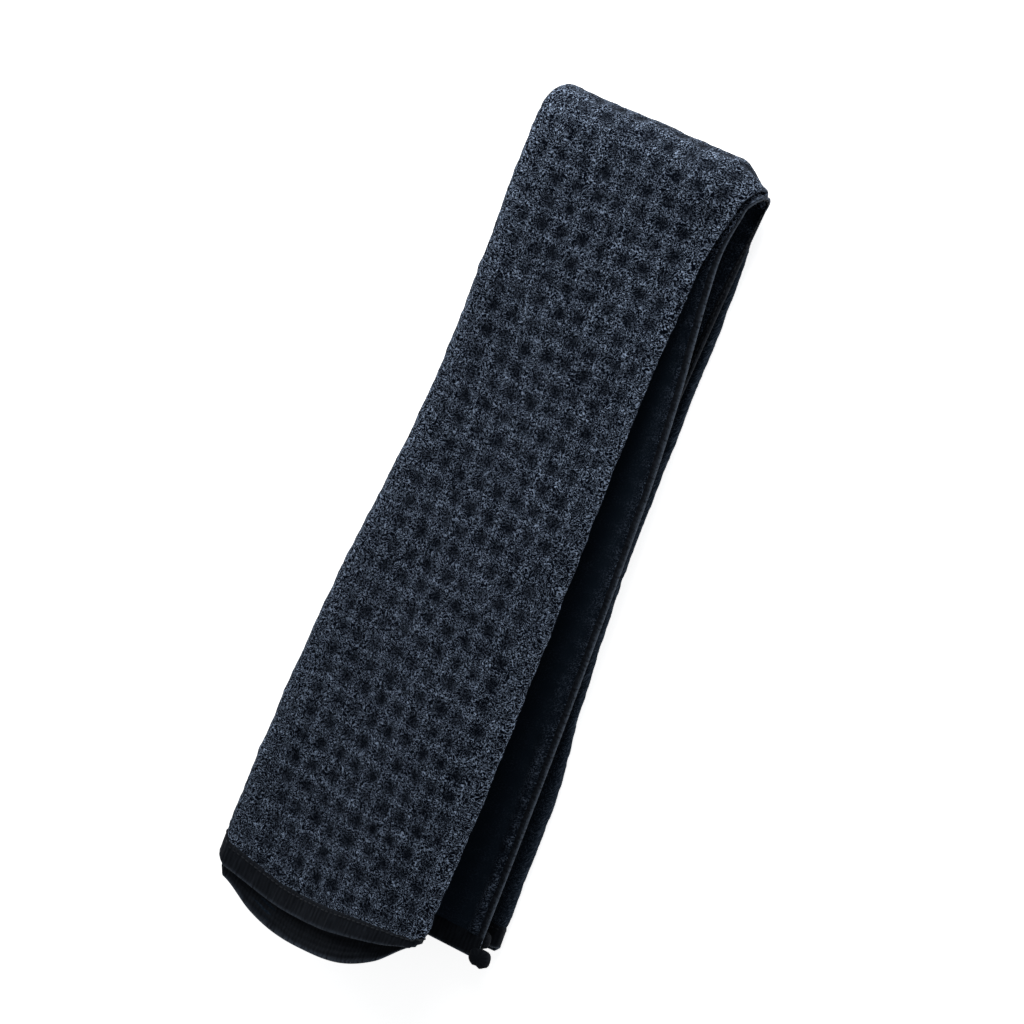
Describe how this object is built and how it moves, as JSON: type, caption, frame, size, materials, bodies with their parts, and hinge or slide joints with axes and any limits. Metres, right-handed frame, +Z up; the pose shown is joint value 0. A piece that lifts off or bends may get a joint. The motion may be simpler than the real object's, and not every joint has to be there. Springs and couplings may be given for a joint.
{
  "type": "folded waffle drying towel",
  "caption": "Waffle microfibre drying towel with bound edges, folded in four lengthwise and once across, whose upper leaf lifts open at the cross fold.",
  "frame": {"origin": "middle of the object's footprint, on the surface that it rests on", "axes": "+Y along the strip towards the cross fold, +X towards the open side of the lengthwise folds, +Z up out of the front face"},
  "size_m": [0.1504, 0.4204, 0.0514],
  "materials": {
    "waffle_cloth": "plush waffle-weave microfibre, matt, dark slate blue",
    "edge_tape": "smooth knitted binding tape, soft satin, near black",
    "seam_thread": "twisted polyester sewing thread, dark grey blue"
  },
  "bodies": {
    "lower_leaf": {"fold_cloth": "waffle_cloth", "lower_cloth": "waffle_cloth", "lower_end_tape": "edge_tape", "fold_outer_side_tape": "edge_tape", "lower_outer_side_tape": "edge_tape", "fold_inner_side_tape": "edge_tape", "lower_inner_side_tape": "edge_tape", "lower_outer_corner_tuck": "edge_tape", "lower_inner_corner_tuck": "edge_tape", "lower_end_seam": "seam_thread", "fold_outer_side_seam": "seam_thread", "lower_outer_side_seam": "seam_thread", "fold_inner_side_seam": "seam_thread", "lower_inner_side_seam": "seam_thread"},
    "upper_leaf": {"upper_cloth": "waffle_cloth", "upper_end_tape": "edge_tape", "upper_outer_side_tape": "edge_tape", "upper_inner_side_tape": "edge_tape", "upper_outer_corner_tuck": "edge_tape", "upper_inner_corner_tuck": "edge_tape", "upper_end_seam": "seam_thread", "upper_outer_side_seam": "seam_thread", "upper_inner_side_seam": "seam_thread"}
  },
  "joints": [
    {"name": "leaf_hinge", "type": "hinge", "parent": "lower_leaf", "child": "upper_leaf", "pos_m": [0, 0.191, 0.0384], "axis": [-1, 0, 0], "range_deg": [0, 90]}
  ]
}
